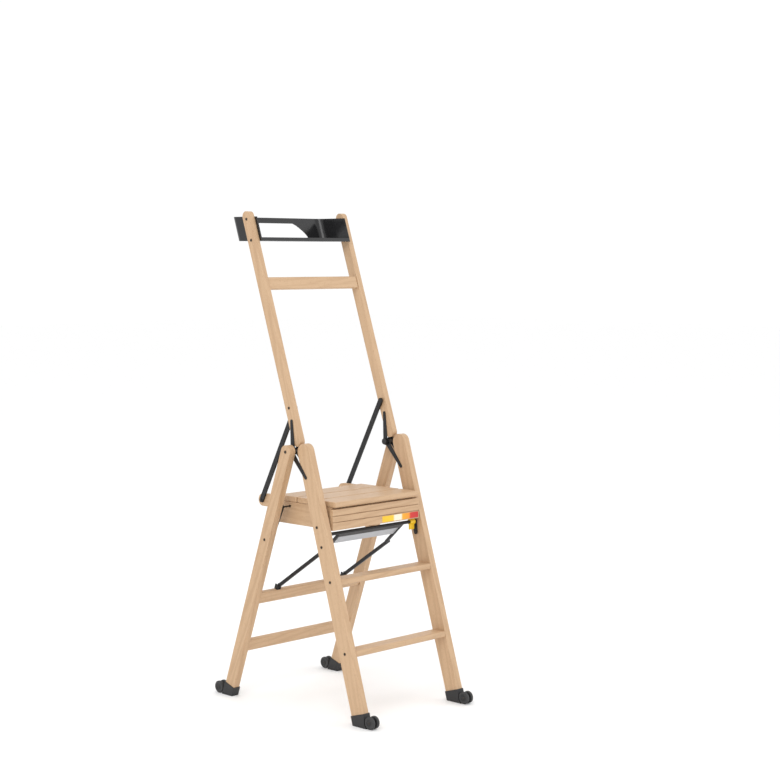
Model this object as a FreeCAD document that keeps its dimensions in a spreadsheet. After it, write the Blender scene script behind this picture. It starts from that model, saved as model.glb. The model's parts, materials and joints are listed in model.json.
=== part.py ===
"""Folding wooden step ladder with a platform, a tall handrail and a tool tray.

Origin: on the floor, midway between the front and the rear feet. +X is the climber's
right, +Y points from the climbing side to the rear, +Z is up. Millimetres and degrees.
"""
import FreeCAD, Part
import os
import re

SIZES = {
    # rails: outer faces from the middle plane, thickness across, width in the side view
    "half_span": 325.5, "front_lean": 16.8, "rear_lean": 19.3, "hand_lean": 18.4,
    "front_outer": 247.5, "front_thick": 26.0, "front_width": 57.6, "front_over": 2.0,
    "frame_gap": 2.4, "rear_thick": 26.0, "rear_width": 46.2, "hub_height": 905.0,
    "hand_overhang": 4.8, "hand_thick": 22.5, "hand_width": 36.8, "hand_set": 27.0,
    "hand_low": 28.0, "hand_top": 845.5,
    # treads, crossbars and their heights
    "low_tread": 248.0, "high_tread": 483.0, "tread_thick": 21.0, "tread_depth": 61.0,
    "tread_round": 6.0, "bar_high": 44.0, "bar_thick": 18.0, "low_bar": 206.0, "high_bar": 396.0,
    "hand_bar": 595.0, "hand_bar_thick": 16.0, "hand_bar_set": 8.0,
    # feet
    "rail_lift": 20.0, "shoe_wall": 2.4, "shoe_high": 42.0, "wheel_radius": 21.5,
    "lug_thick": 9.0, "wheel_room": 24.5, "wheel_lift": 0.8, "wheel_gap": 2.0,
    "floor_margin": 10.0, "floor_half": 200.0, "floor_deep": 100.0, "axle_radius": 3.0,
    "lug_radius": 9.0, "running_gap": 0.3, "pin_gap": 0.05,
    # platform, measured from its pivot on the front rails
    "pivot_set": -118.0, "pivot_height": 653.6, "slat_top": 87.0, "slat_thick": 20.0,
    "slat_front": -53.0, "slat_width": 96.0, "slat_split": 5.0, "panel_gap": 1.0,
    "panel_thick": 18.0, "panel_low": -10.0, "apron_gap": 8.5, "apron_front": -43.0,
    "apron_thick": 16.0, "apron_low": -11.0, "groove_high": 3.0, "groove_deep": 4.0,
    "apron_shadow": 6.0,
    "groove_one": 15.0, "groove_two": 37.0, "tongue_back": 324.6, "tongue_up": 60.3,
    "tongue_radius": 22.0, "label_side": 4.0, "label_long": 182.0, "label_low": -8.0,
    "label_high": 21.0, "label_thick": 0.4,
    # handrail rods, support links, struts and the grip
    "rod_pin": 147.3, "rod_gap": 3.2, "rod_thick": 6.5, "rod_width": 18.0,
    "link_back": 181.0, "link_up": 51.9, "link_foot": 623.4, "link_gap": 3.2,
    "link_thick": 6.5, "link_width": 16.0, "grip_set": -141.0, "grip_height": 588.0,
    "grip_rise": 40.0, "grip_shift": 4.0, "grip_bar_radius": 6.0, "lever_gap": 1.1,
    "lever_thick": 5.0, "lever_width": 15.0, "strut_end_back": -55.0, "strut_end_up": 552.0,
    "strut_side": 29.0, "strut_thick": 8.0, "strut_width": 12.0, "grip_long": 62.0,
    "grip_thick": 10.0, "grip_rim": 10.0, "grip_plate": 4.0, "arm_thick": 8.0,
    "bracket_side": 4.5, "bracket_high": 18.0, "bracket_pin": 9.0, "bracket_base": 3.0,
    "bracket_inset": 1.0,
    "latch_long": 24.0, "latch_drop": 28.0, "latch_thick": 5.0,
    "latch_ring": 10.0,
    # hinge plates, bolts and screws
    "plate_thick": 2.0, "plate_gap": 0.2, "plate_end": 6.0, "hub_radius": 14.0,
    "plate_root": 11.0, "plate_low": 112.0, "plate_low_turn": 139.6, "plate_high": 104.0,
    "hub_bolt": 4.0, "hub_head": 1.5, "spacer_radius": 12.0,
    "knob_radius": 11.0, "bolt_radius": 3.6, "screw_radius": 3.0, "head_radius": 4.8,
    "head_thick": 1.6,
    # tool tray, level while the handrail stands, measured from the main hinge
    "tray_low": 725.0, "tray_high": 86.0, "tray_front": 196.0, "tray_deep": 142.0,
    "tray_wall": 3.0, "tray_lip": 13.0, "tray_gap": 0.2, "window_side": 116.7,
    "window_long": 180.0, "window_ramp": 60.0, "window_low": 12.0,
    "window_high": 54.0, "tray_screw": 78.0, "screw_margin": 10.0,
}
DERIVED = {
    "wheel_reach": "wheel_radius + wheel_room",
    "front_inner": "front_outer - front_thick",
    "rear_inner": "front_outer + frame_gap",
    "rear_outer": "rear_inner + rear_thick",
    "hand_inner": "front_inner - hand_overhang",
    "hand_outer": "hand_inner + hand_thick",
    "rod_inner": "hand_inner - rod_gap - rod_thick",
    "panel_outer": "rod_inner - panel_gap",
    "panel_inner": "panel_outer - panel_thick",
    "lever_inner": "front_inner - lever_gap - lever_thick",
    "link_inner": "rear_inner - link_gap - link_thick",
    "apron_half": "front_inner - apron_gap",
    "strut_inner": "panel_inner - strut_side",
    "label_left": "apron_half - label_side - label_long",
    "window_left": "window_side - hand_inner",
    "tray_shift": "tray_high * tan(hand_lean * 1deg)",
    "front_top": "(hub_height + front_over) / cos(front_lean * 1deg)",
    "hub_set": "half_span - hub_height * tan(rear_lean * 1deg)",
    "rear_top": "hub_height / cos(rear_lean * 1deg)",
    "slat_low": "slat_top - slat_thick",
    "slat_back": "slat_front + 3 * slat_width + 2 * slat_split",
    "bar_set": "grip_set + grip_shift",
    "bar_height": "grip_height + grip_rise",
    "arm_long": "sqrt((strut_end_back - bar_set)^2 + (strut_end_up - bar_height)^2)",
    "arm_turn": "-180 + atan((strut_end_back - bar_set) / (bar_height - strut_end_up)) / 1deg",
    "lever_turn": "-atan(grip_shift / grip_rise) / 1deg",
    "lever_long": "sqrt(grip_shift^2 + grip_rise^2)",
    "joint_set": "high_bar + bar_high / 2 + bracket_pin",
    "strut_foot_set": "half_span - bar_thick / 2 * cos(rear_lean * 1deg)"
                      " - joint_set * sin(rear_lean * 1deg)",
    "strut_foot_height": "joint_set * cos(rear_lean * 1deg)"
                         " - bar_thick / 2 * sin(rear_lean * 1deg)",
    "strut_long": "sqrt((strut_end_back - strut_foot_set)^2"
                  " + (strut_end_up - strut_foot_height)^2)",
    "strut_turn": "atan((strut_foot_set - strut_end_back)"
                  " / (strut_end_up - strut_foot_height)) / 1deg",
    "rod_set": "hub_set - hand_set * cos(hand_lean * 1deg) + rod_pin * sin(hand_lean * 1deg)",
    "rod_height": "hub_height + hand_set * sin(hand_lean * 1deg)"
                  " + rod_pin * cos(hand_lean * 1deg)",
    "rod_end_set": "pivot_set + tongue_back",
    "rod_end_height": "pivot_height + tongue_up",
    "rod_long": "sqrt((rod_end_set - rod_set)^2 + (rod_height - rod_end_height)^2)",
    "rod_turn": "-180 + atan((rod_end_set - rod_set) / (rod_height - rod_end_height)) / 1deg",
    "link_set": "half_span - link_foot * sin(rear_lean * 1deg)",
    "link_height": "link_foot * cos(rear_lean * 1deg)",
    "link_end_set": "pivot_set + link_back",
    "link_end_height": "pivot_height + link_up",
    "link_long": "sqrt((link_set - link_end_set)^2 + (link_end_height - link_height)^2)",
    "link_turn": "atan((link_set - link_end_set) / (link_end_height - link_height)) / 1deg",
    "outer_plate": "front_outer + plate_gap",
    "inner_plate": "front_inner - plate_gap - plate_thick",
    "hand_outer_plate": "hand_outer + plate_gap",
    "hand_inner_plate": "hand_inner - plate_gap - plate_thick",
    "hand_turn": "-hand_lean + atan(hand_set / plate_high) / 1deg",
}

doc = FreeCAD.newDocument("step_ladder")
sheet = doc.addObject("Spreadsheet::Sheet", "dims")
for row, (word, value) in enumerate(SIZES.items(), start=1):
    sheet.set(f"A{row}", str(value))
    sheet.setAlias(f"A{row}", word)


def bind(text):
    """Point every size named in an expression at the sheet."""
    return re.sub(r"[a-z]+(?:_[a-z]+)+", lambda found: "dims." + found.group(0), str(text))


for row, (word, formula) in enumerate(DERIVED.items(), start=1):
    sheet.set(f"B{row}", "=" + formula)
    sheet.setAlias(f"B{row}", word)
doc.recompute()

# frames: where each group of pieces has its own origin and turn about X
LEVEL = ("0", "0", "0")
FRONT = ("-half_span", "0", "-front_lean")
REAR = ("half_span", "0", "rear_lean")
HAND = ("hub_set", "hub_height", "-hand_lean")
PLATFORM = ("pivot_set", "pivot_height", "0")
GRIP = ("bar_set", "bar_height", "arm_turn")
LEVER = ("grip_set", "grip_height", "lever_turn")
STRUT = ("strut_foot_set", "strut_foot_height", "strut_turn")
ROD = ("rod_set", "rod_height", "rod_turn")
LINK = ("link_set", "link_height", "link_turn")
PLATE_LOW = ("hub_set", "hub_height", "plate_low_turn")
PLATE_HIGH = ("hub_set", "hub_height", "hand_turn")
SIDES = (("left", -1), ("right", 1))
nodes = []


def place(piece, x, y, z, turn="0", axis=(1, 0, 0)):
    """Bind a piece's place, in its group's own frame, to the sheet."""
    piece.Placement = FreeCAD.Placement(FreeCAD.Vector(), FreeCAD.Rotation(FreeCAD.Vector(*axis), 1))
    for name, value in (("Base.x", x), ("Base.y", y), ("Base.z", z), ("Rotation.Angle", turn)):
        piece.setExpression("Placement." + name, bind(value))
    return piece


def block(x, y, z, long, deep, high, tilt=None):
    """A box from one corner; with a tilt its axes are turned about X at the frame's origin."""
    box = doc.addObject("Part::Box", "Block")
    for name, value in (("Length", long), ("Width", deep), ("Height", high)):
        box.setExpression(name, bind(value))
    if tilt is None:
        return place(box, x, y, z)
    across = f"({y}) * cos(({tilt}) * 1deg) - ({z}) * sin(({tilt}) * 1deg)"
    along = f"({y}) * sin(({tilt}) * 1deg) + ({z}) * cos(({tilt}) * 1deg)"
    return place(box, x, across, along, tilt)


def pin(x, y, z, radius, long, tilt=None):
    """A cylinder along X from x, centred at y and z."""
    if tilt is not None:
        y, z = (f"({y}) * cos(({tilt}) * 1deg) - ({z}) * sin(({tilt}) * 1deg)",
                f"({y}) * sin(({tilt}) * 1deg) + ({z}) * cos(({tilt}) * 1deg)")
    cylinder = doc.addObject("Part::Cylinder", "Pin")
    cylinder.setExpression("Radius", bind(radius))
    cylinder.setExpression("Height", bind(long))
    return place(cylinder, x, y, z, "90", (0, 1, 0))


def join(*pieces):
    """One solid, or one group of solids, from several."""
    if len(pieces) == 1:
        return pieces[0]
    fused = doc.addObject("Part::MultiFuse", "Join")
    fused.Shapes = list(pieces)
    return fused


def cut(base, *tools):
    """The base less every tool."""
    result = doc.addObject("Part::Cut", "Cut")
    result.Base = base
    result.Tool = join(*tools)
    return result


def group(*pieces):
    """Separate solids, or a single primitive, held together as one piece."""
    held = doc.addObject("Part::Compound", "Group")
    held.Links = list(pieces)
    return held


def node(label, piece, frame=LEVEL):
    """Name a finished piece and set it in its group's frame."""
    if piece.TypeId in ("Part::Box", "Part::Cylinder"):
        piece = group(piece)
    piece.Label = label
    place(piece, "0", *frame)
    nodes.append(piece)


def from_middle(side, inner, thick):
    """The lower x of a piece that starts at inner and runs outward on one side."""
    return f"{inner}" if side > 0 else f"-({inner}) - ({thick})"


def link(side, inner, thick, width, long, low_hole, high_hole):
    """A flat bar with round ends and a hole at each, from the frame's origin along +Z."""
    x = from_middle(side, inner, thick)
    body = join(block(x, f"-({width}) / 2", "0", thick, width, long),
                pin(x, "0", "0", f"({width}) / 2", thick),
                pin(x, "0", long, f"({width}) / 2", thick))
    drilled = [pin(x, "0", place_z, f"({hole}) + pin_gap", thick)
               for place_z, hole in (("0", low_hole), (long, high_hole)) if hole]
    return cut(body, *drilled) if drilled else body


def wedge(low_x, high_x, low_y, high_y, heights, tilt="0"):
    """A block whose ends and faces may lean, from the spans in x and y at its two heights.

    With a tilt it is turned about X at the frame's origin.
    """
    body = doc.addObject("Part::Wedge", "Wedge")
    spans = (("Xmin", "Xmax", low_x), ("X2min", "X2max", high_x), ("Ymin", "Ymax", heights))
    for start, end, span in spans:
        body.setExpression(start, bind(span[0]))
        body.setExpression(end, bind(span[1]))
    # the wedge's own Z points to the frame's -Y once its length stands up
    for start, end, span in (("Zmin", "Zmax", low_y), ("Z2min", "Z2max", high_y)):
        body.setExpression(start, bind(f"-({span[1]})"))
        body.setExpression(end, bind(f"-({span[0]})"))
    return place(body, "0", "0", "0", f"90 + {tilt}")


def taper(x, thick, long, low_half, high_half):
    """A plate along +Z from the frame's origin that narrows from one half width to another."""
    across = (x, f"{x} + {thick}")
    return wedge(across, across, (f"-{low_half}", low_half), (f"-{high_half}", high_half),
                 ("0", long))


def bolt(side, inner, thick, y, z, radius, head="head_radius"):
    """A shank from inner outward through thick, with a thin head on the outer face."""
    shank = pin(from_middle(side, inner, thick), y, z, radius, thick)
    cap = pin(from_middle(side, f"{inner} + {thick}", "head_thick"), y, z, head, "head_thick")
    return join(shank, cap)


def along_front(height):
    """How far up the front rail a height on its centre line is."""
    return f"({height}) / cos(front_lean * 1deg)"


def across_front(y, z):
    """A point of the level frame in the front rails' own frame."""
    return (f"(({y}) + half_span) * cos(front_lean * 1deg) - ({z}) * sin(front_lean * 1deg)",
            f"(({y}) + half_span) * sin(front_lean * 1deg) + ({z}) * cos(front_lean * 1deg)")


TREADS = (("lower_tread", "low_tread"), ("upper_tread", "high_tread"))
FRONT_SCREWS = [("0", along_front(f"{top} - tread_thick / 2"), "screw_radius") for _, top in TREADS]
FRONT_PIVOTS = [(*across_front("pivot_set", "pivot_height"), "bolt_radius"),
                (*across_front("grip_set", "grip_height"), "screw_radius")]


def rail(inner, thick, width, low, high, side, holes):
    """A straight rail with a round top, drilled across at each hole."""
    x = from_middle(side, inner, thick)
    body = join(block(x, f"-{width} / 2", low, thick, width, f"{high} - {low}"),
                pin(x, "0", high, f"{width} / 2", thick))
    tools = [pin(x, y, z, f"{radius} + pin_gap", thick) for y, z, radius in holes]
    return cut(body, *tools)


def foot(name, side, inner, thick, width, lean, out, frame):
    """A shoe on the rail's end, flat on the floor, with a disc wheel on each side of its lug."""
    wide = f"({thick} + 2 * shoe_wall)"
    x = from_middle(side, f"{inner} - shoe_wall", wide)
    body = block(x, f"-{width} / 2 - shoe_wall", "-shoe_high / 2", wide,
                 f"{width} + 2 * shoe_wall", "shoe_high / 2 + shoe_high")
    socket = block(from_middle(side, inner, thick), f"-{width} / 2", "rail_lift", thick, width,
                   "shoe_high")
    axle_y = f"{out} * wheel_reach"
    axle_z = "(wheel_radius + wheel_lift)"
    start = "-wheel_reach" if out < 0 else "0"
    lug_x = f"{x} + ({wide} - lug_thick) / 2"
    disc = f"(({wide} - lug_thick) / 2 - running_gap)"
    lug = [block(lug_x, start, f"{axle_z} - lug_radius", "lug_thick", "wheel_reach",
                 "2 * lug_radius", lean),
           pin(lug_x, axle_y, axle_z, "lug_radius", "lug_thick", lean)]
    floor = block(f"{x} - floor_margin", "-floor_half", "-floor_deep",
                  f"{wide} + 2 * floor_margin", "2 * floor_half", "floor_deep", lean)
    wells = [pin(start_x, axle_y, axle_z, "wheel_radius + wheel_gap", f"{disc} + running_gap", lean)
             for start_x in (x, f"{lug_x} + lug_thick")]
    axle_hole = pin(x, axle_y, axle_z, "axle_radius + pin_gap", wide, lean)
    node(f"{name}_shoe", cut(join(body, *lug), socket, floor, *wells, axle_hole), frame)
    discs = []
    for disc_x in (x, f"{x} + {wide} - {disc}"):
        tyre = pin(disc_x, axle_y, axle_z, "wheel_radius", disc, lean)
        bore = pin(disc_x, axle_y, axle_z, "axle_radius + pin_gap", disc, lean)
        discs.append(cut(tyre, bore))
    node(f"{name}_wheel", group(*discs), frame)
    return pin(x, axle_y, axle_z, "axle_radius", wide, lean)


def front_frame():
    """Front rails, treads, feet and the bolts that the front rails carry."""
    screws, pivots, axles = [], [], []
    for name, side in SIDES:
        node(f"front_rail_{name}", rail("front_inner", "front_thick", "front_width", "rail_lift",
             "front_top", side, FRONT_SCREWS + FRONT_PIVOTS), FRONT)
        axles.append(foot(f"front_{name}", side, "front_inner", "front_thick", "front_width",
                          "front_lean", -1, FRONT))
        screws += [bolt(side, "front_inner", "front_thick", y, z, radius)
                   for y, z, radius in FRONT_SCREWS]
        pivots.append(bolt(side, "lever_inner", "(front_outer - lever_inner)",
                           *FRONT_PIVOTS[1][:2], "screw_radius"))
    node("front_axles", group(*axles), FRONT)
    node("tread_screws", group(*screws), FRONT)
    node("grip_pivots", group(*pivots), FRONT)
    node("platform_pivots", group(*[bolt(side, "panel_inner", "(front_outer - panel_inner)",
                                         *FRONT_PIVOTS[0][:2], "bolt_radius")
                                    for _, side in SIDES]), FRONT)
    for label, top in TREADS:
        middle = f"({top} - tread_thick / 2) * tan(front_lean * 1deg) - half_span"
        board = block("-front_inner", f"{middle} - tread_depth / 2 + tread_round",
                      f"{top} - tread_thick", "2 * front_inner", "tread_depth - 2 * tread_round",
                      "tread_thick")
        core = block("-front_inner", f"{middle} - tread_depth / 2",
                     f"{top} - tread_thick + tread_round", "2 * front_inner", "tread_depth",
                     "tread_thick - 2 * tread_round")
        edges = [pin("-front_inner", f"{middle} + {way} * (tread_depth / 2 - tread_round)", height,
                     "tread_round", "2 * front_inner")
                 for way in (-1, 1)
                 for height in (f"{top} - tread_round", f"{top} - tread_thick + tread_round")]
        node(label, join(board, core, *edges))


def hinges():
    """Hinge plates on both faces of both rails, the main bolts, spacers and knobs."""
    bolts, spacers, knobs = [], [], []
    pairs = (("lower", "plate_low", PLATE_LOW, ("outer_plate", "inner_plate")),
             ("upper", "plate_high", PLATE_HIGH, ("hand_outer_plate", "hand_inner_plate")))
    for name, side in SIDES:
        for word, long, frame, inners in pairs:
            plates = []
            for inner in inners:
                x = from_middle(side, inner, "plate_thick")
                body = join(taper(x, "plate_thick", long, "plate_root", "plate_end"),
                            pin(x, "0", long, "plate_end", "plate_thick"),
                            pin(x, "0", "0", "hub_radius", "plate_thick"))
                plates.append(cut(body, pin(x, "0", "0", "hub_bolt + pin_gap", "plate_thick")))
            node(f"{word}_hinge_plates_{name}", group(*plates), frame)
        shank_start = "(hand_inner_plate - plate_gap)"
        bolts.append(bolt(side, shank_start, f"(rear_outer - {shank_start})", "0", "0", "hub_bolt",
                          "hub_bolt + hub_head"))
        for start, end in (("(front_inner + plate_gap)", "(hand_outer - plate_gap)"),
                           ("(hand_outer_plate + plate_thick + plate_gap)", "(front_outer - plate_gap)")):
            x = from_middle(side, start, f"({end} - {start})")
            spacers.append(cut(pin(x, "0", "0", "spacer_radius", f"{end} - {start}"),
                               pin(x, "0", "0", "hub_bolt + pin_gap", f"{end} - {start}")))
        knobs.append(pin(from_middle(side, "panel_outer", f"({shank_start} - panel_outer)"), "0",
                         "0", "knob_radius", f"{shank_start} - panel_outer"))
    hub = ("hub_set", "hub_height", "0")
    node("main_hinge_bolts", group(*bolts), hub)
    node("hinge_spacers", group(*spacers), hub)
    node("hinge_knobs", group(*knobs), hub)


def rear_frame():
    """Rear rails, crossbars, feet, strut brackets and their pins."""
    holes = [("0", "rear_top", "hub_bolt"), ("0", "link_foot", "screw_radius")]
    axles = []
    for name, side in SIDES:
        node(f"rear_rail_{name}", rail("rear_inner", "rear_thick", "rear_width", "rail_lift",
             "rear_top", side, holes), REAR)
        axles.append(foot(f"rear_{name}", side, "rear_inner", "rear_thick", "rear_width",
                          "-rear_lean", 1, REAR))
    node("rear_axles", group(*axles), REAR)
    for label, height in (("lower_crossbar", "low_bar"), ("upper_crossbar", "high_bar")):
        board = block("-rear_inner", "-bar_thick", f"{height} - bar_high / 2", "2 * rear_inner",
                      "bar_thick", "bar_high")
        node(label, board, REAR)
    brackets, pins = [], []
    slot = "(strut_thick + 2 * running_gap)"
    wide = f"({slot} + 2 * bracket_side)"
    top = "(high_bar + bar_high / 2)"
    for _, side in SIDES:
        x = from_middle(side, "strut_inner - running_gap - bracket_side", wide)
        body = block(x, "-bar_thick + bracket_inset", top, wide,
                     "bar_thick - 2 * bracket_inset", "bracket_high")
        gap = block(f"{x} + bracket_side", "-bar_thick", f"{top} + bracket_base", slot, "bar_thick",
                    "bracket_high")
        bore = pin(x, "-bar_thick / 2", "joint_set", "axle_radius + pin_gap", wide)
        brackets.append(cut(body, gap, bore))
        pins.append(pin(x, "-bar_thick / 2", "joint_set", "axle_radius", wide))
    node("strut_brackets", group(*brackets), REAR)
    node("strut_pins", group(*pins), REAR)
    node("link_pivots", group(*[bolt(side, "link_inner", "(rear_outer - link_inner)", "0",
                                     "link_foot", "screw_radius") for _, side in SIDES]), REAR)


def platform():
    """Slats on two side panels, behind a grooved apron, turning on the front rails."""
    for number, label in enumerate(("front_slat", "middle_slat", "rear_slat")):
        start = f"slat_front + {number} * (slat_width + slat_split)"
        nose = "slat_thick / 2"
        board = block("-panel_outer", start, "slat_low", "2 * panel_outer", "slat_width",
                      "slat_thick")
        if number == 0:
            board = join(block("-panel_outer", f"{start} + {nose}", "slat_low", "2 * panel_outer",
                               f"slat_width - {nose}", "slat_thick"),
                         pin("-panel_outer", f"{start} + {nose}", f"slat_low + {nose}", nose,
                             "2 * panel_outer"))
        node(label, board, PLATFORM)
    stubs = []
    for name, side in SIDES:
        x = from_middle(side, "panel_inner", "panel_thick")
        back = "apron_front + apron_thick"
        board = block(x, back, "panel_low", "panel_thick", f"slat_back - ({back})",
                      "slat_low - panel_low")
        tongue = block(x, "slat_back", "tongue_up - tongue_radius", "panel_thick",
                       "tongue_back - slat_back", "2 * tongue_radius")
        end = pin(x, "tongue_back", "tongue_up", "tongue_radius", "panel_thick")
        hole = pin(x, "0", "0", "bolt_radius + pin_gap", "panel_thick")
        node(f"platform_side_{name}", cut(join(board, tongue, end), hole), PLATFORM)
        reach = "(link_inner - running_gap - panel_outer)"
        stubs.append(join(pin(from_middle(side, "panel_outer", reach), "link_back", "link_up",
                              "screw_radius", reach),
                          pin(from_middle(side, "panel_outer", "plate_thick"), "link_back",
                              "link_up", "head_radius", "plate_thick")))
    node("platform_link_studs", group(*stubs), PLATFORM)
    board = block("-apron_half", "apron_front", "apron_low", "2 * apron_half", "apron_thick",
                  "slat_low - apron_shadow - apron_low")
    grooves = [block("-apron_half", "apron_front", height, "2 * apron_half", "groove_deep",
                     "groove_high") for height in ("groove_one", "groove_two")]
    node("apron", cut(board, *grooves), PLATFORM)
    node("label", block("label_left", "apron_front - label_thick", "label_low", "label_long",
                        "label_thick", "label_high"), PLATFORM)


def handrail():
    """Handrail rails, crossbar, tool tray and their screws."""
    holes = [("0", "rod_pin", "bolt_radius")]
    tray_screws, rod_pins = [], []
    level = "hand_lean"
    for name, side in SIDES:
        x = from_middle(side, "hand_inner", "hand_thick")
        body = join(block(x, "-hand_set - hand_width / 2", "hand_low", "hand_thick", "hand_width",
                          "hand_top - hand_low"),
                    pin(x, "-hand_set", "hand_low", "hand_width / 2", "hand_thick"),
                    pin(x, "-hand_set", "hand_top", "hand_width / 2", "hand_thick"))
        bores = [pin(x, "-hand_set", z, f"{radius} + pin_gap", "hand_thick")
                 for _, z, radius in holes]
        spots = ("hand_top - screw_margin", "hand_top - screw_margin - tray_screw")
        bores += [pin(x, "-hand_set", z, "screw_radius + pin_gap", "hand_thick") for z in spots]
        node(f"handrail_{name}", cut(body, *bores), HAND)
        tray_screws += [bolt(side, "hand_inner", "hand_thick", "-hand_set", z, "screw_radius")
                        for z in spots]
        inner = "(rod_inner - running_gap)"
        rod_pins.append(bolt(side, inner, f"(hand_outer - {inner})", "-hand_set", "rod_pin",
                             "bolt_radius"))
    node("tray_screws", group(*tray_screws), HAND)
    node("rod_pivots", group(*rod_pins), HAND)
    node("handrail_crossbar", block("-hand_inner", "-hand_set - hand_bar_set - hand_bar_thick / 2",
         "hand_bar - bar_high / 2", "2 * hand_inner", "hand_bar_thick", "bar_high"), HAND)
    half = "(hand_inner - tray_gap)"
    wide = (f"-{half}", half)
    # the tray is level, and its front and rear walls lean with the rails
    low_front = "(tray_front - tray_shift / 2)"
    high_front = "(tray_front + tray_shift / 2)"
    box = wedge(wide, wide, (low_front, f"{low_front} + tray_deep"),
                (high_front, f"{high_front} + tray_deep"), ("tray_low", "tray_low + tray_high"), level)
    inside = (f"-{half} + tray_wall", f"{half} - tray_wall")
    inset = "tray_wall * (1 + tan(hand_lean * 1deg))"
    clear = "tray_deep - 2 * tray_wall"
    hollow = wedge(inside, inside, (f"{low_front} + {inset}", f"{low_front} + {inset} + {clear}"),
                   (f"{high_front} + {inset}", f"{high_front} + {inset} + {clear}"),
                   ("tray_low + tray_wall", "tray_low + tray_wall + tray_high"), level)
    front = block(f"-{half} + tray_wall", "tray_front - tray_shift", "tray_low + tray_lip",
                  f"2 * ({half} - tray_wall)", "2 * tray_shift", "tray_high", level)
    window_right = "window_left + window_long"
    through = ("tray_front + tray_deep - tray_shift", "tray_front + tray_deep + tray_shift")
    window = wedge(("window_left", f"{window_right} + window_ramp"), ("window_left", window_right),
                   through, through,
                   ("tray_low + window_low", "tray_low + window_low + window_high"), level)
    node("tool_tray", cut(box, hollow, front, window), HAND)


def linkages():
    """Rods, support links, struts, and the grip with its levers and latch."""
    rod_bolts, link_bolts, strut_bolts = [], [], []
    for name, side in SIDES:
        node(f"handrail_rod_{name}", link(side, "rod_inner", "rod_thick", "rod_width", "rod_long",
             "bolt_radius", "screw_radius"), ROD)
        inner = "(rod_inner - running_gap)"
        rod_bolts.append(bolt(side, inner, "(rod_thick + running_gap)", "0", "rod_long",
                              "screw_radius"))
        node(f"support_link_{name}", link(side, "link_inner", "link_thick", "link_width",
             "link_long", "screw_radius", ""), LINK)
        node(f"strut_{name}", link(side, "strut_inner", "strut_thick", "strut_width", "strut_long",
             "axle_radius", "axle_radius"), STRUT)
        strut_bolts.append(bolt(side, "strut_inner", "strut_thick", "0", "strut_long",
                                "axle_radius", "strut_width / 2"))
        node(f"grip_lever_{name}", link(side, "lever_inner", "lever_thick", "lever_width",
             "lever_long", "screw_radius", "grip_bar_radius"), LEVER)
    node("rod_end_bolts", group(*rod_bolts), ROD)
    node("strut_end_bolts", group(*strut_bolts), STRUT)
    bar_half = "(lever_inner + lever_thick)"
    node("grip_bar", pin(f"-{bar_half}", "0", "0", "grip_bar_radius", f"2 * {bar_half}"), GRIP)
    arm_inner = "(strut_inner - running_gap - arm_thick)"
    arm_outer = "(strut_inner - running_gap)"
    body = [block(f"-{arm_outer}", "-grip_thick / 2", "0", f"2 * {arm_outer}", "grip_thick",
                  "grip_long")]
    for _, side in SIDES:
        x = from_middle(side, arm_inner, "arm_thick")
        body.append(block(x, "-grip_thick / 2", "0", "arm_thick", "grip_thick", "arm_long"))
        body.append(pin(x, "0", "arm_long", "grip_thick / 2", "arm_thick"))
    opening = block(f"-{arm_inner}", "-grip_thick / 2", "2 * grip_rim", f"2 * {arm_inner}",
                    "grip_thick", "grip_long - 2 * grip_rim")
    bar = pin(f"-{arm_outer}", "0", "0", "grip_bar_radius", f"2 * {arm_outer}")
    node("grip_frame", cut(join(*body), opening, bar), GRIP)
    node("grip_plate", block(f"-{arm_inner}", "-grip_plate / 2", "2 * grip_rim",
         f"2 * {arm_inner}", "grip_plate", "grip_long - 2 * grip_rim"), GRIP)
    hook = join(pin("panel_inner", "0", "0", "latch_ring", "latch_long"),
                block("panel_inner", "-latch_thick / 2", "-latch_drop", "latch_long", "latch_thick",
                      "latch_drop"))
    eye = pin("panel_inner", "0", "0", "grip_bar_radius + pin_gap", "latch_long")
    node("safety_latch", cut(hook, eye), ("bar_set", "bar_height", "0"))


front_frame()
hinges()
rear_frame()
platform()
handrail()
linkages()
doc.recompute()

for item in doc.Objects:
    if "Invalid" in item.State or "Error" in item.State:
        raise RuntimeError(f"{item.Name} ({item.Label}) failed: {item.State}")
os.makedirs("parts", exist_ok=True)
for piece in nodes:
    if piece.Shape.isNull() or not piece.Shape.isValid() or not piece.Shape.Solids:
        raise RuntimeError(f"{piece.Label} has no valid solid")
for piece in nodes:
    piece.Shape.exportStep(f"parts/{piece.Label}.step")
print(len(nodes), "nodes written")
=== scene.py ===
"""Studio scene of a folding wooden step ladder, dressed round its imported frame."""
import json
import logging
import math
from dataclasses import dataclass, field
from enum import Enum
from typing import Any, Callable, Iterable, Sequence

import bmesh
import bpy
from mathutils import Matrix, Vector


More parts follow.
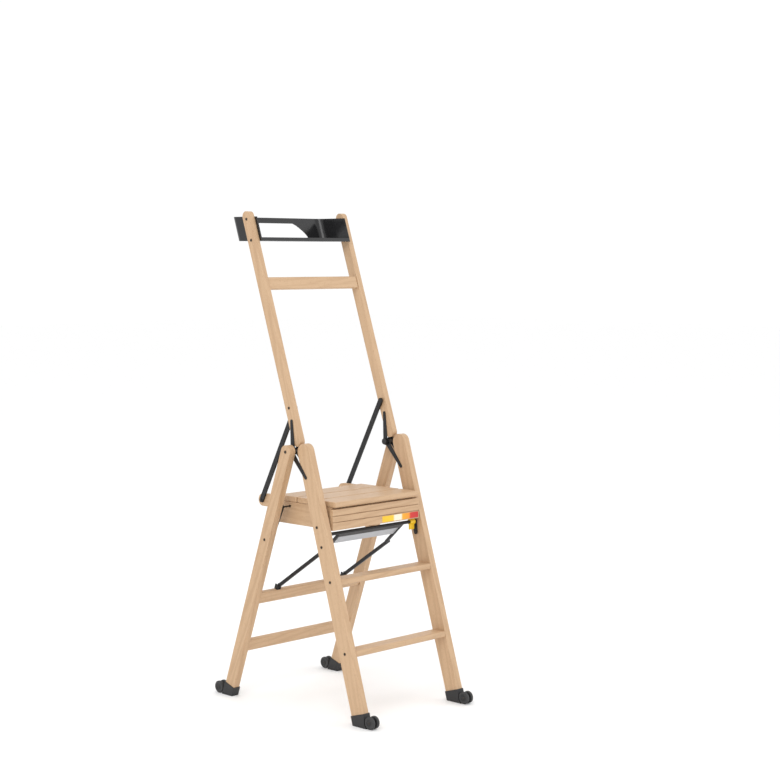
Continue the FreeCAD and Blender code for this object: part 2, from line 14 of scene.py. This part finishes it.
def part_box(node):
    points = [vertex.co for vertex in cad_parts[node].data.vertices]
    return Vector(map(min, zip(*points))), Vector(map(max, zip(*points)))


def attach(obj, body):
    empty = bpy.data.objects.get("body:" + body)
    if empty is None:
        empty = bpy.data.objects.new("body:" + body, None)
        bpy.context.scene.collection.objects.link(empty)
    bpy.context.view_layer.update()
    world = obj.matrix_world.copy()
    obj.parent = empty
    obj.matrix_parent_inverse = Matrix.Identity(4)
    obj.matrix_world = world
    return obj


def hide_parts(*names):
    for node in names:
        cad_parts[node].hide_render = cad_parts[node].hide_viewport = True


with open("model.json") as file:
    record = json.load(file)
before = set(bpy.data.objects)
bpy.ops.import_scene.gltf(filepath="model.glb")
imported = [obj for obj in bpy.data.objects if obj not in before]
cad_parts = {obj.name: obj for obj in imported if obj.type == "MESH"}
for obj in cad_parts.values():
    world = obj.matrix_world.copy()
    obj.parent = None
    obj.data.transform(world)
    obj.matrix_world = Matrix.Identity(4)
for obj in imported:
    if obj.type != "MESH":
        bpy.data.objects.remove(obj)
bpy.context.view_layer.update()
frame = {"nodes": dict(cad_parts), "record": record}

log = logging.getLogger("step_ladder")
logging.basicConfig(level=logging.INFO, format="%(message)s")

Colour = tuple[float, float, float]
Point = tuple[float, float, float]
Flat = tuple[float, float]


class Grain(Enum):
    """Turns, in degrees about X, Y and Z, that bring a board's length to +Z."""

    FRONT = (16.8, 0.0, 0.0)
    REAR = (-19.3, 0.0, 0.0)
    HAND = (18.4, 0.0, 0.0)
    DEPTH = (90.0, 0.0, 0.0)
    ACROSS = (0.0, -90.0, 0.0)


class Signal:
    """A shader socket that can be used in Python arithmetic."""

    def __init__(self, graph: "Graph", socket: bpy.types.NodeSocket) -> None:
        """Wrap one output socket.

        Args:
            graph: the graph that the socket belongs to.
            socket: the output socket.
        """
        self.graph = graph
        self.socket = socket

    def _join(self, kind: str, first: Any, second: Any) -> "Signal":
        """Return a Math node of two values."""
        return self.graph.node("ShaderNodeMath", {"operation": kind}, {0: first, 1: second})

    def __add__(self, other: Any) -> "Signal":
        """Add a value."""
        return self._join("ADD", self, other)

    __radd__ = __add__

    def __sub__(self, other: Any) -> "Signal":
        """Take a value away."""
        return self._join("SUBTRACT", self, other)

    def __rsub__(self, other: Any) -> "Signal":
        """Take this from a value."""
        return self._join("SUBTRACT", other, self)

    def __mul__(self, other: Any) -> "Signal":
        """Multiply by a value."""
        return self._join("MULTIPLY", self, other)

    __rmul__ = __mul__


class Graph:
    """The node tree of one material."""

    def __init__(self, name: str) -> None:
        """Start a material with an empty Principled surface.

        Args:
            name: the material's name.
        """
        self.material = bpy.data.materials.new(name)
        self.material.use_nodes = True
        self.tree = self.material.node_tree
        self.surface = self.tree.nodes["Principled BSDF"]

    def node(self, kind: str, settings: dict[str, Any], inputs: dict[Any, Any],
             out: Any = 0) -> Signal:
        """Add any node.

        Args:
            kind: the node's type.
            settings: attributes that are set first; "stops" fills a colour ramp.
            inputs: socket names or numbers with values or signals.
            out: the output to return.

        Returns:
            The chosen output.
        """
        made = self.tree.nodes.new(kind)
        for key, value in settings.items():
            if key == "stops":
                self._fill(made.color_ramp, value)
            else:
                setattr(made, key, value)
        for key, value in inputs.items():
            if isinstance(value, Signal):
                self.tree.links.new(value.socket, made.inputs[key])
            else:
                made.inputs[key].default_value = value
        return Signal(self, made.outputs[out])

    @staticmethod
    def _fill(ramp: bpy.types.ColorRamp, stops: Sequence[tuple[float, Colour]]) -> None:
        """Set a ramp's stops."""
        while len(ramp.elements) < len(stops):
            ramp.elements.new(1.0)
        for element, (place, colour) in zip(ramp.elements, stops):
            element.position = place
            element.color = (*colour, 1.0)

    def blend(self, amount: Any, first: Any, second: Any, way: str = "MIX") -> Signal:
        """Mix two colours by an amount.

        Args:
            amount: the factor.
            first: a colour or signal at nought.
            second: a colour or signal at one.
            way: the blending mode.

        Returns:
            The mixed colour.
        """
        full = [(*value, 1.0) if isinstance(value, tuple) else value for value in (first, second)]
        return self.node("ShaderNodeMix", {"data_type": "RGBA", "blend_type": way},
                         {0: amount, 6: full[0], 7: full[1]}, 2)

    def noise(self, where: Signal, scale: float, detail: float = 3.0,
              rough: float = 0.55) -> Signal:
        """Return fractal noise at a place."""
        return self.node("ShaderNodeTexNoise", {}, {"Vector": where, "Scale": scale,
                                                    "Detail": detail, "Roughness": rough})

    def place(self, turn: Point, offset: Point, stretch: Point) -> Signal:
        """Return the rest position, turned, moved and stretched."""
        spot = self.node("ShaderNodeTexCoord", {}, {}, "Object")
        angles = tuple(math.radians(part) for part in turn)
        turned = self.node("ShaderNodeMapping", {}, {"Vector": spot, "Rotation": angles})
        return self.node("ShaderNodeMapping", {},
                         {"Vector": turned, "Location": offset, "Scale": stretch})

    def set(self, **values: Any) -> None:
        """Set or link the surface's sockets; an underscore stands for a space."""
        for key, value in values.items():
            socket = self.surface.inputs[key.replace("_", " ")]
            if isinstance(value, Signal):
                self.tree.links.new(value.socket, socket)
            else:
                socket.default_value = (*value, 1.0) if isinstance(value, tuple) else value

    def bump(self, height: Signal, strength: float, depth: float) -> None:
        """Feed the surface's normal from a height."""
        self.set(Normal=self.node("ShaderNodeBump", {}, {"Strength": strength, "Distance": depth,
                                                         "Height": height}))


@dataclass(frozen=True)
class Beech:
    """Varnished beech with its grain along one board."""

    name: str
    grain: Grain
    seed: int
    light: Colour = (0.575, 0.385, 0.228)
    dark: Colour = (0.505, 0.325, 0.186)
    fleck: Colour = (0.43, 0.262, 0.142)

    def make(self) -> bpy.types.Material:
        """Build the material.

        Returns:
            Beech with growth rings, fibres, ray flecks and a satin varnish.
        """
        graph = Graph(self.name)
        shift = (self.seed * 0.37, self.seed * 0.71, self.seed * 1.13)
        broad = graph.place(self.grain.value, shift, (1.0, 1.0, 0.10))
        fine = graph.place(self.grain.value, shift, (1.0, 1.0, 0.035))
        short = graph.place(self.grain.value, shift, (1.0, 1.0, 0.16))
        tone = graph.noise(broad, 13.0, 4.0, 0.5)
        rings = graph.node("ShaderNodeTexWave",
                           {"wave_type": "BANDS", "bands_direction": "DIAGONAL"},
                           {"Vector": broad, "Scale": 26.0, "Distortion": 7.0, "Detail": 2.5,
                            "Detail Scale": 1.4})
        rings = rings * 0.45 + tone * 0.75
        body = graph.node("ShaderNodeValToRGB", {"stops": ((0.22, self.dark), (0.72, self.light))},
                          {"Fac": rings})
        fibre = graph.noise(fine, 620.0, 2.0, 0.6)
        threads = graph.node("ShaderNodeValToRGB",
                             {"stops": ((0.38, (0.93, 0.915, 0.895)), (0.60, (1.0, 1.0, 1.0)))},
                             {"Fac": fibre})
        body = graph.blend(0.8, body, threads, "MULTIPLY")
        spots = graph.noise(short, 900.0, 1.0, 0.4)
        mask = graph.node("ShaderNodeValToRGB",
                          {"stops": ((0.655, (0.0, 0.0, 0.0)), (0.70, (1.0, 1.0, 1.0)))},
                          {"Fac": spots})
        body = graph.blend(mask, body, self.fleck)
        graph.set(Base_Color=body, Roughness=fibre * 0.14 + 0.44, Coat_Weight=0.12,
                  Coat_Roughness=0.28, IOR=1.48)
        graph.bump(fibre * 0.6 + rings * 0.4, 0.15, 0.0002)
        return graph.material


@dataclass(frozen=True)
class Moulded:
    """Moulded plastic or rubber with a fine sparked texture."""

    name: str
    colour: Colour
    rough: float = 0.46
    spark: float = 0.00012
    scale: float = 900.0

    def make(self) -> bpy.types.Material:
        """Build the material.

        Returns:
            Plastic whose gloss and tone vary a little over the surface.
        """
        graph = Graph(self.name)
        spot = graph.place((0.0, 0.0, 0.0), (0.0, 0.0, 0.0), (1.0, 1.0, 1.0))
        grit = graph.noise(spot, self.scale, 2.0)
        haze = graph.noise(spot, 24.0, 3.0)
        pale = tuple(min(1.0, part * 1.5 + 0.006) for part in self.colour)
        graph.set(Base_Color=graph.blend(haze * 0.6, self.colour, pale),
                  Roughness=haze * 0.16 + (self.rough - 0.08), IOR=1.5)
        graph.bump(grit, 0.5, self.spark)
        return graph.material


@dataclass(frozen=True)
class Coated:
    """Steel under a thin dark coat that has a slight orange peel."""

    name: str
    colour: Colour
    metal: float
    rough: float

    def make(self) -> bpy.types.Material:
        """Build the material.

        Returns:
            Coated or burnished steel with rubbed patches.
        """
        graph = Graph(self.name)
        spot = graph.place((0.0, 0.0, 0.0), (0.0, 0.0, 0.0), (1.0, 1.0, 1.0))
        peel = graph.noise(spot, 420.0, 2.0)
        rub = graph.node("ShaderNodeValToRGB",
                         {"stops": ((0.56, (0.0, 0.0, 0.0)), (0.74, (1.0, 1.0, 1.0)))},
                         {"Fac": graph.noise(spot, 60.0, 5.0, 0.7)})
        worn = tuple(min(1.0, part * 2.2 + 0.02) for part in self.colour)
        graph.set(Base_Color=graph.blend(rub, self.colour, worn), Metallic=self.metal,
                  Roughness=graph.noise(spot, 90.0) * 0.2 + (self.rough - 0.1))
        graph.bump(peel, 0.35, 0.00015)
        return graph.material


@dataclass(frozen=True)
class Printed:
    """A plain printed label in bands of warm colour, with no lettering."""

    name: str
    left: float
    long: float

    def make(self) -> bpy.types.Material:
        """Build the material.

        Returns:
            Film with a pale field between warm bands.
        """
        graph = Graph(self.name)
        spot = graph.place((0.0, 0.0, 0.0), (-self.left / self.long, 0.0, 0.0),
                           (1.0 / self.long, 1.0, 1.0))
        across = graph.node("ShaderNodeSeparateXYZ", {}, {0: spot}, "X")
        bands = graph.node("ShaderNodeValToRGB",
                           {"stops": ((0.0, (0.86, 0.52, 0.02)), (0.30, (0.88, 0.56, 0.03)),
                                      (0.34, (0.88, 0.80, 0.62)), (0.52, (0.88, 0.80, 0.62)),
                                      (0.56, (0.86, 0.40, 0.02)), (0.74, (0.84, 0.30, 0.02)),
                                      (0.78, (0.60, 0.03, 0.02)), (1.0, (0.52, 0.02, 0.02)))},
                           {"Fac": across})
        scuff = graph.noise(graph.place((0, 0, 0), (0, 0, 0), (1, 1, 1)), 160.0)
        graph.set(Base_Color=bands, Roughness=scuff * 0.2 + 0.28)
        graph.bump(scuff, 0.2, 0.0001)
        return graph.material


def add_mesh(name: str, vertices: Sequence[Point],
             faces: Sequence[Sequence[int]]) -> bpy.types.Object:
    """Make an object from points and faces.

    Args:
        name: the piece's name.
        vertices: the points, in metres.
        faces: corners of each face.

    Returns:
        The new object, linked to the scene.
    """
    mesh = bpy.data.meshes.new(name)
    mesh.from_pydata([tuple(point) for point in vertices], [], [list(face) for face in faces])
    mesh.validate()
    piece = bpy.data.objects.new(name, mesh)
    bpy.context.scene.collection.objects.link(piece)
    sorter = bmesh.new()
    sorter.from_mesh(mesh)
    bmesh.ops.recalc_face_normals(sorter, faces=sorter.faces)
    sorter.to_mesh(mesh)
    sorter.free()
    return piece


def prism(name: str, outline: Sequence[Flat], low: float, high: float,
          lift: Callable[[float, float, float], Point]) -> bpy.types.Object:
    """Extrude a closed outline between two heights.

    Args:
        name: the piece's name.
        outline: its corners in order.
        low: the lower height.
        high: the upper height.
        lift: puts two outline values and a height into the frame.

    Returns:
        The closed prism.
    """
    count = len(outline)
    points = [lift(a, b, height) for height in (low, high) for a, b in outline]
    sides = [(i, (i + 1) % count, (i + 1) % count + count, i + count) for i in range(count)]
    return add_mesh(name, points, [*sides, tuple(range(count))[::-1],
                                   tuple(range(count, 2 * count))])


def rounded(corners: Sequence[tuple[float, float, float]], steps: int = 8) -> list[Flat]:
    """Round the corners of a closed outline.

    Args:
        corners: each corner's two values and its radius.
        steps: the number of chords in each arc.

    Returns:
        The outline's points in order.
    """
    points: list[Flat] = []
    count = len(corners)
    for index, (a, b, radius) in enumerate(corners):
        here = Vector((a, b))
        before = (Vector(corners[index - 1][:2]) - here).normalized()
        after = (Vector(corners[(index + 1) % count][:2]) - here).normalized()
        if radius <= 0:
            points.append((a, b))
            continue
        half = before.angle(after) / 2
        reach = radius / math.tan(half)
        centre = here + (before + after).normalized() * (radius / math.sin(half))
        start, end = here + before * reach - centre, here + after * reach - centre
        turn = start.angle_signed(end)
        for step in range(steps + 1):
            spoke = Matrix.Rotation(-turn * step / steps, 2) @ start
            points.append(tuple(centre + spoke))
    return points


def lathe(name: str, profile: Sequence[Flat], centre: Vector, side: float,
          steps: int = 48) -> bpy.types.Object:
    """Turn a closed profile about an axis along X.

    Args:
        name: the piece's name.
        profile: distance along the axis and radius of each corner.
        centre: the point at distance nought.
        side: +1 when the distance runs towards +X, -1 towards -X.
        steps: the number of chords round the axis.

    Returns:
        The turned piece.
    """
    count = len(profile)
    points = []
    for step in range(steps):
        angle = math.tau * step / steps
        points += [(centre.x + side * along, centre.y + radius * math.cos(angle),
                    centre.z + radius * math.sin(angle)) for along, radius in profile]
    faces = []
    for step in range(steps):
        here, there = step * count, (step + 1) % steps * count
        faces += [(here + i, here + (i + 1) % count, there + (i + 1) % count, there + i)
                  for i in range(count)]
    return add_mesh(name, points, faces)


def carve(piece: bpy.types.Object, cutters: Iterable[bpy.types.Object]) -> None:
    """Cut closed pieces out of another and delete them.

    Args:
        piece: the piece that is cut.
        cutters: the closed pieces to take away.
    """
    for cutter in cutters:
        tool = piece.modifiers.new("carve", "BOOLEAN")
        tool.operation, tool.solver, tool.object = "DIFFERENCE", "EXACT", cutter
        graph = bpy.context.evaluated_depsgraph_get()
        shape = bpy.data.meshes.new_from_object(piece.evaluated_get(graph))
        piece.modifiers.clear()
        piece.data = shape
        bpy.data.objects.remove(cutter)


def soften(piece: bpy.types.Object, width: float, steps: int = 3, weld: bool = True) -> None:
    """Round a piece's sharp edges and shade it smoothly.

    Args:
        piece: the piece.
        width: the width of the rounding.
        steps: the number of chords in it.
        weld: joins points that lie together first.
    """
    if weld:
        piece.modifiers.new("weld", "WELD").merge_threshold = 1e-5
        flat = piece.modifiers.new("flat", "DECIMATE")
        flat.decimate_type = "DISSOLVE"
        flat.angle_limit = math.radians(1.0)
    bevel = piece.modifiers.new("soften", "BEVEL")
    bevel.width, bevel.segments, bevel.limit_method = width, steps, "ANGLE"
    bevel.angle_limit = math.radians(38.0)
    bevel.use_clamp_overlap = True
    even = piece.modifiers.new("even", "WEIGHTED_NORMAL")
    even.keep_sharp = True
    for face in piece.data.polygons:
        face.use_smooth = True


def dress(piece: bpy.types.Object, material: bpy.types.Material) -> None:
    """Give a piece one material."""
    piece.data.materials.clear()
    piece.data.materials.append(material)


def islands(node: str) -> list[tuple[Vector, Vector]]:
    """Find the separate solids in a node.

    Args:
        node: the node's name.

    Returns:
        The lowest and highest corner of each solid.
    """
    mesh = bmesh.new()
    mesh.from_mesh(frame["nodes"][node].data)
    bmesh.ops.remove_doubles(mesh, verts=mesh.verts, dist=1e-5)
    left = set(mesh.verts)
    boxes = []
    while left:
        seed = min(left, key=lambda vertex: vertex.index)
        group, queue = {seed}, [seed]
        while queue:
            for edge in queue.pop().link_edges:
                fresh = [vertex for vertex in edge.verts if vertex not in group]
                group.update(fresh)
                queue += fresh
        left -= group
        spots = [vertex.co for vertex in group]
        boxes.append((Vector(map(min, zip(*spots))), Vector(map(max, zip(*spots)))))
    mesh.free()
    return boxes


@dataclass
class Timber:
    """Rails, treads, crossbars and the platform's boards."""

    edge: float = 0.0035
    grooved_edge: float = 0.0007
    batten: float = 0.012
    batten_edge: float = 0.0008
    reach: float = 0.19
    boards: dict[str, Grain] = field(default_factory=lambda: {
        "front_rail_left": Grain.FRONT, "front_rail_right": Grain.FRONT,
        "rear_rail_left": Grain.REAR, "rear_rail_right": Grain.REAR,
        "handrail_left": Grain.HAND, "handrail_right": Grain.HAND,
        "lower_tread": Grain.ACROSS, "upper_tread": Grain.ACROSS,
        "lower_crossbar": Grain.ACROSS, "upper_crossbar": Grain.ACROSS,
        "handrail_crossbar": Grain.ACROSS, "front_slat": Grain.ACROSS,
        "middle_slat": Grain.ACROSS, "rear_slat": Grain.ACROSS, "apron": Grain.ACROSS,
        "platform_side_left": Grain.DEPTH, "platform_side_right": Grain.DEPTH})

    def build(self) -> None:
        """Round the boards' edges and dress each in its own grain."""
        for seed, (name, grain) in enumerate(self.boards.items(), start=1):
            board = frame["nodes"][name]
            soften(board, self.grooved_edge if name == "apron" else self.edge)
            dress(board, Beech(f"beech_{name}", grain, seed).make())
            log.info("timber: %s", name)
        self._cleat()

    def _cleat(self) -> None:
        """Fix a batten behind the apron, under the front slat."""
        _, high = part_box("apron")
        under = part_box("front_slat")[0][2]
        back = high[1] + self.batten
        corners = [(-self.reach, high[1]), (self.reach, high[1]), (self.reach, back),
                   (-self.reach, back)]
        cleat = prism("apron_cleat", corners, high[2] - self.batten, under,
                      lambda a, b, c: (a, b, c))
        soften(cleat, self.batten_edge, 2, False)
        dress(cleat, Beech("beech_cleat", Grain.ACROSS, len(self.boards) + 1).make())
        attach(cleat, "platform")


@dataclass
class Fittings:
    """Hinge plates, rods, links, struts, pins and screw heads."""

    coat: bpy.types.Material
    steel: bpy.types.Material
    dome: float = 0.0011
    slot: float = 0.0012
    cap_share: float = 0.93
    slot_share: float = 1.1
    slot_floor: float = 0.0004
    slot_top: float = 0.004
    cap_steps: int = 28
    plate_edge: float = 0.0006
    pin_edge: float = 0.0005
    cap_edge: float = 0.0001
    plates: tuple[str, ...] = ("lower_hinge_plates_left", "lower_hinge_plates_right",
                               "upper_hinge_plates_left", "upper_hinge_plates_right",
                               "handrail_rod_left", "handrail_rod_right", "support_link_left",
                               "support_link_right", "strut_left", "strut_right",
                               "strut_brackets", "grip_lever_left", "grip_lever_right", "grip_bar")
    pins: tuple[str, ...] = ("tread_screws", "grip_pivots", "platform_pivots", "main_hinge_bolts",
                             "hinge_spacers", "front_axles", "rear_axles", "strut_pins",
                             "link_pivots", "platform_link_studs", "tray_screws", "rod_pivots",
                             "rod_end_bolts", "strut_end_bolts")
    heads: tuple[str, ...] = ("tread_screws", "grip_pivots", "platform_pivots",
                              "main_hinge_bolts", "link_pivots", "tray_screws", "rod_pivots",
                              "rod_end_bolts")

    def build(self) -> None:
        """Dress the steel pieces and crown each screw head."""
        for name in self.plates:
            soften(frame["nodes"][name], self.plate_edge, 2)
            dress(frame["nodes"][name], self.coat)
        for name in self.pins:
            soften(frame["nodes"][name], self.pin_edge, 2)
            dress(frame["nodes"][name], self.steel)
        for name in self.heads:
            self._crown(name)
            log.info("fittings: crowned heads of %s", name)

    def _crown(self, node: str) -> None:
        """Put a domed cap with a cross slot on each head of a node.

        Args:
            node: the node that holds the heads.
        """
        body = next(key for key, names in frame["record"]["behaviour"]["bodies"].items()
                    if node in names)
        for number, (low, high) in enumerate(islands(node), start=1):
            side = 1.0 if low.x + high.x > 0 else -1.0
            radius = (high.z - low.z) / 2 * self.cap_share
            face = high.x if side > 0 else low.x
            centre = Vector((face, (low.y + high.y) / 2, (low.z + high.z) / 2))
            turns = [step * math.pi / 12 for step in range(1, 7)]
            arc = [(self.dome * math.cos(turn), radius * math.sin(turn)) for turn in turns]
            cap = lathe(f"{node}_cap_{number}",
                        [(self.dome, self.slot_floor), *arc, (0.0, self.slot_floor)],
                        centre, side, self.cap_steps)
            long, half = radius * self.slot_share, self.slot / 2
            cutters = []
            for wide, tall in ((long / 2, half), (half, long / 2)):
                corners = [(-wide, -tall), (wide, -tall), (wide, tall), (-wide, tall)]
                cutters.append(prism("cross", corners, self.slot_floor, self.slot_top,
                                     lambda a, b, c: (centre.x + side * c, centre.y + a,
                                                      centre.z + b)))
            carve(cap, cutters)
            soften(cap, self.cap_edge, 1, False)
            dress(cap, self.steel)
            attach(cap, body)


@dataclass
class Feet:
    """Shoes and the small wheels beside them."""

    plastic: bpy.types.Material
    rubber: bpy.types.Material
    hub: bpy.types.Material
    corners: tuple[str, ...] = ("front_left", "front_right", "rear_left", "rear_right")
    shoe_edge: float = 0.0018
    tyre_round: float = 0.003
    bore: float = 0.0032
    rim_share: float = 0.62
    boss: float = 0.003
    slope: float = 0.0015
    step_back: float = 0.0003
    dish: float = 0.0014

    def build(self) -> None:
        """Dress the shoes and turn a tyred wheel for each."""
        for corner in self.corners:
            shoe = frame["nodes"][f"{corner}_shoe"]
            soften(shoe, self.shoe_edge)
            dress(shoe, self.plastic)
            self._wheel(corner)
            log.info("feet: %s", corner)

    def _wheel(self, corner: str) -> None:
        """Replace a foot's two discs with turned tyres on dished hubs.

        Args:
            corner: the foot's place, as in the wheel's name.
        """
        turns = [step * math.pi / 12 for step in range(7)]
        for number, (low, high) in enumerate(islands(f"{corner}_wheel"), start=1):
            centre = (low + high) / 2
            outer, half = (high.z - low.z) / 2, (high.x - low.x) / 2
            bore, rim = self.bore, outer * self.rim_share
            soft = self.tyre_round
            tread = [(half - soft + soft * math.cos(turn), outer - soft + soft * math.sin(turn))
                     for turn in turns]
            far = [(-along, radius) for along, radius in reversed(tread)]
            tyre = lathe(f"{corner}_tyre_{number}", [(half, rim), *tread, *far, (-half, rim)],
                         centre, 1.0, 64)
            soften(tyre, self.step_back, 2, False)
            dress(tyre, self.rubber)
            deep = min(self.dish, half * 0.5)
            side = [(half, bore), (half, bore + self.boss),
                    (half - deep, bore + self.boss + self.slope),
                    (half - deep, rim - 2 * self.slope),
                    (half - self.step_back, rim - self.slope), (half - self.step_back, rim)]
            disc = lathe(f"{corner}_hub_{number}",
                         [*side, *[(-along, radius) for along, radius in reversed(side)]],
                         centre, 1.0, 48)
            soften(disc, 0.0002, 2, False)
            dress(disc, self.hub)
            for piece, slot in ((tyre, "wheel_rubber"), (disc, "black_plastic")):
                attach(piece, f"{corner}_wheel")
            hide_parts(f"{corner}_wheel")


@dataclass
class ToolTray:
    """The moulded tray between the handrail tops, level while the rails lean."""

    plastic: bpy.types.Material
    wall: float = 0.003
    lip: float = 0.013
    corner: float = 0.030
    front_corner: float = 0.003
    lean: float = math.tan(math.radians(18.4))
    window: tuple[float, float, float, float] = (-0.100, 0.080, 0.012, 0.066)
    ramp: float = 0.060
    bend: float = 1.5
    bulge_steps: int = 8
    overcut: float = 0.01
    edge: float = 0.0011
    rib_count: int = 7
    rib_half: float = 0.0022
    rib_high: float = 0.0025
    rib_front: float = 0.012
    rib_rear: float = 0.016
    rib_corner: float = 0.0015
    rib_edge: float = 0.0006

    def build(self) -> None:
        """Mould the tray with rounded rear corners, a hand hole and ribs."""
        low, high = (Vector(part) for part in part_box("tool_tray"))
        shift = (high.z - low.z) * self.lean
        depth = high.y - low.y - shift

        def leaning(a: float, b: float, height: float) -> Point:
            """Slide a point back as it rises, as the rails do."""
            return (a, b + (height - low.z) * self.lean, height)

        def plan(inset: float) -> list[Flat]:
            """Return the tray's outline seen from above, less an inset."""
            radius = self.corner - inset
            return rounded([(low.x + inset, low.y + inset, self.front_corner),
                            (high.x - inset, low.y + inset, self.front_corner),
                            (high.x - inset, low.y + depth - inset, radius),
                            (low.x + inset, low.y + depth - inset, radius)], 12)

        tray = prism("tray_shell", plan(0.0), low.z, high.z, leaning)
        hollow = prism("hollow", plan(self.wall), low.z + self.wall, high.z + self.overcut,
                       leaning)
        inner, clear = self.wall, self.overcut
        mouth = prism("mouth", [(low.x + inner, low.y - clear), (high.x - inner, low.y - clear),
                                (high.x - inner, low.y + clear), (low.x + inner, low.y + clear)],
                      low.z + self.lip, high.z + clear, leaning)
        left, right, bottom, top = self.window
        base, head = low.z + bottom, low.z + top
        shares = [step / self.bulge_steps for step in range(1, self.bulge_steps)]
        bulge = [(right + self.ramp * (1 - share ** self.bend), base + (head - base) * share, 0.0)
                 for share in shares]
        hole = prism("hole", rounded([(left, base, 0.012), (right + self.ramp, base, 0.004), *bulge,
                                      (right - 0.004, head, 0.006), (left, head, 0.012)]),
                     high.y - shift - 2 * clear, high.y + 2 * clear,
                     lambda a, b, deep: (a, deep, b))
        carve(tray, (hollow, mouth, hole))
        soften(tray, self.edge, 3, False)
        dress(tray, self.plastic)
        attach(tray, "handrail")
        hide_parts("tool_tray")
        log.info("tray: shell")
        self._ribs(low + Vector((0.0, self.lean * self.wall, 0.0)),
                   Vector((high.x, low.y + depth, high.z)))

    def _ribs(self, low: Vector, high: Vector) -> None:
        """Stand shallow ribs on the tray's floor.

        Args:
            low: the tray's lowest corner.
            high: its highest corner, at the floor's rear edge.
        """
        count, wide, turn = self.rib_count, self.rib_half, self.rib_corner
        front, rear = low.y + self.rib_front, high.y - self.rib_rear
        foot = low.z + self.wall
        for number in range(count):
            x = low.x + (high.x - low.x) * (number + 1) / (count + 1)
            outline = rounded([(x - wide, front, turn), (x + wide, front, turn),
                               (x + wide, rear, turn), (x - wide, rear, turn)], 4)
            rib = prism(f"tray_rib_{number + 1}", outline, foot, foot + self.rib_high,
                        lambda a, b, c: (a, b, c))
            soften(rib, self.rib_edge, 2, False)
            dress(rib, self.plastic)
            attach(rib, "handrail")


@dataclass
class Grip:
    """The grip under the platform, its plate, the latch, knobs and the label."""

    plastic: bpy.types.Material
    plate: bpy.types.Material
    latch: bpy.types.Material

    def build(self) -> None:
        """Dress the grip and its latch."""
        for name, width, material in (("grip_frame", 0.0018, self.plastic),
                                      ("grip_plate", 0.0006, self.plate),
                                      ("safety_latch", 0.0012, self.latch),
                                      ("hinge_knobs", 0.0016, self.plastic)):
            soften(frame["nodes"][name], width)
            dress(frame["nodes"][name], material)
            log.info("grip: %s", name)
        low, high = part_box("label")
        dress(frame["nodes"]["label"], Printed("label_print", low[0], high[0] - low[0]).make())


@dataclass
class Studio:
    """Floor, lights and camera."""

    place: Point = (-4.2545, -4.3896, 1.5725)
    heading: float = 45.611
    drop: float = 4.38
    lens: float = 79.94
    reach: float = 30.0
    sky: float = 1.03
    aim: Point = (0.0, 0.0, 0.8)

    def build(self) -> None:
        """Set up the studio."""
        scene = bpy.context.scene
        scene.view_settings.view_transform = "Standard"
        floor = add_mesh("floor", [(x, y, 0.0) for x, y in ((-self.reach, -self.reach),
                         (self.reach, -self.reach), (self.reach, self.reach),
                         (-self.reach, self.reach))], [(0, 1, 2, 3)])
        graph = Graph("floor_paint")
        graph.set(Base_Color=(0.97, 0.97, 0.97), Roughness=0.9)
        dress(floor, graph.material)
        world = bpy.data.worlds.new("studio")
        world.use_nodes = True
        world.node_tree.nodes["Background"].inputs[0].default_value = (1.0, 1.0, 1.0, 1.0)
        world.node_tree.nodes["Background"].inputs[1].default_value = self.sky
        scene.world = world
        for name, spot, size, power in (("key", (-3.2, -2.2, 4.2), 2.6, 62.0),
                                        ("fill", (2.8, -3.6, 2.6), 3.2, 18.0),
                                        ("back", (1.5, 3.6, 3.6), 2.6, 22.0)):
            self._light(name, Vector(spot), size, power)
        self._camera()
        log.info("studio: ready")

    def _light(self, name: str, spot: Vector, size: float, power: float) -> None:
        """Hang one soft square light that faces the ladder.

        Args:
            name: the light's name.
            spot: where it hangs.
            size: the length of its side.
            power: its power in watts.
        """
        data = bpy.data.lights.new(name, "AREA")
        data.shape, data.size, data.energy = "SQUARE", size, power
        lamp = bpy.data.objects.new(name, data)
        lamp.location = spot
        lamp.rotation_mode = "QUATERNION"
        lamp.rotation_quaternion = (Vector(self.aim) - spot).to_track_quat("-Z", "Y")
        bpy.context.scene.collection.objects.link(lamp)

    def _camera(self) -> None:
        """Stand the camera where it sees the ladder from its front left."""
        data = bpy.data.cameras.new("camera")
        data.lens = self.lens
        data.sensor_width = 36.0
        camera = bpy.data.objects.new("camera", data)
        camera.location = self.place
        camera.rotation_euler = (math.radians(90.0 - self.drop), 0.0, math.radians(-self.heading))
        bpy.context.scene.collection.objects.link(camera)
        bpy.context.scene.camera = camera


def main() -> None:
    """Build the ladder's pieces in order, then the studio."""
    black = Moulded("black_plastic", (0.009, 0.009, 0.010)).make()
    gloss = Moulded("tray_plastic", (0.005, 0.005, 0.006), 0.20).make()
    coat = Coated("black_steel", (0.011, 0.011, 0.012), 0.3, 0.42).make()
    steel = Coated("dark_steel", (0.060, 0.050, 0.042), 0.85, 0.42).make()
    rubber = Moulded("wheel_rubber", (0.028, 0.028, 0.029), 0.62, 0.0002, 600.0).make()
    grey = Moulded("grey_plastic", (0.40, 0.42, 0.45), 0.5).make()
    yellow = Moulded("yellow_plastic", (0.78, 0.47, 0.015), 0.4).make()
    Timber().build()
    Fittings(coat, steel).build()
    Feet(black, rubber, black).build()
    ToolTray(gloss).build()
    Grip(black, grey, yellow).build()
    Studio().build()


if __name__ == "__main__":
    main()
